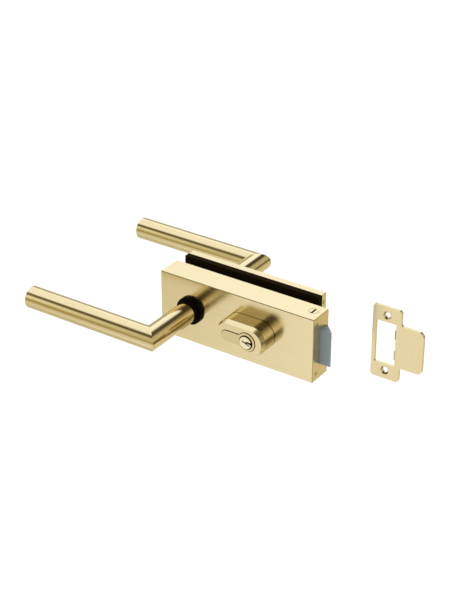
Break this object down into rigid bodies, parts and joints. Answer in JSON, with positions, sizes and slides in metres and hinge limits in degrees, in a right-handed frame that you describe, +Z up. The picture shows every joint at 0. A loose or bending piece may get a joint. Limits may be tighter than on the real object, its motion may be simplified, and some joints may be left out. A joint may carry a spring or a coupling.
{
  "type": "glass door lock",
  "caption": "Lever handle lock for a glass door: slim rectangular case and back plate that clamp on the pane, profile cylinder, sprung latch and separate strike plate.",
  "frame": {"origin": "where the handle axis crosses the front face of the glass pane", "axes": "+X along the case from the levers to the latch, +Y through the glass from the front case to the back plate, +Z up"},
  "size_m": [0.3262, 0.1795, 0.068],
  "materials": {
    "satin_brass": "brushed pale gold coating",
    "lever_brass": "brushed pale gold coating, grain along the tube",
    "cylinder_brass": "satin",
    "strike_brass": "satin pale gold coating",
    "cast_frame": "as cast",
    "plain_steel": "zinc plated",
    "spring_steel": "oiled wire",
    "latch_steel": "satin, grey",
    "black_plastic": "matt black",
    "black_base": "matt black",
    "gasket_rubber": "matt"
  },
  "bodies": {
    "case": {"front_cover": "satin_brass", "lock_frame": "cast_frame", "cylinder_housing": "satin_brass", "housing_screws": "plain_steel", "cylinder_body": "cylinder_brass", "cylinder_screw": "plain_steel", "front_bush": "black_plastic", "back_bush": "black_plastic", "front_gasket": "gasket_rubber", "back_gasket": "gasket_rubber", "glass_studs": "black_base", "clamp_screws": "plain_steel", "back_base": "black_base", "back_cover": "satin_brass", "back_cover_screws": "satin_brass", "end_screws": "satin_brass", "top_screw": "satin_brass", "strike_plate": "strike_brass", "return_spring": "spring_steel", "latch_spring": "spring_steel"},
    "levers": {"spindle": "plain_steel", "follower": "plain_steel", "front_neck": "lever_brass", "front_grip": "lever_brass", "back_neck": "lever_brass", "back_grip": "lever_brass", "grip_caps": "lever_brass", "grub_screws": "plain_steel"},
    "latch": {"latch_bolt": "latch_steel", "latch_tail": "plain_steel", "latch_rivets": "plain_steel"},
    "plug": {"front_plug": "cylinder_brass", "back_plug": "cylinder_brass", "cylinder_cam": "plain_steel"}
  },
  "joints": [
    {"name": "handle_turn", "type": "hinge", "parent": "case", "child": "levers", "pos_m": [0, 0, 0], "axis": [0, -1, 0], "range_deg": [0, 35], "stiffness_Nm_per_rad": 1.2, "springref_deg": -28.65, "deforming": ["return_spring"]},
    {"name": "latch_slide", "type": "slide", "parent": "case", "child": "latch", "axis": [-1, 0, 0], "range_m": [0, 0.0104], "stiffness_N_per_m": 100, "springref_m": -0.02, "deforming": ["latch_spring"]},
    {"name": "key_turn", "type": "hinge", "parent": "case", "child": "plug", "pos_m": [0.0691, 0, 0], "axis": [0, -1, 0], "continuous": true}
  ],
  "couplings": [
    {"joint": "latch_slide", "follows": "handle_turn", "m_per_rad": 0.01702}
  ]
}
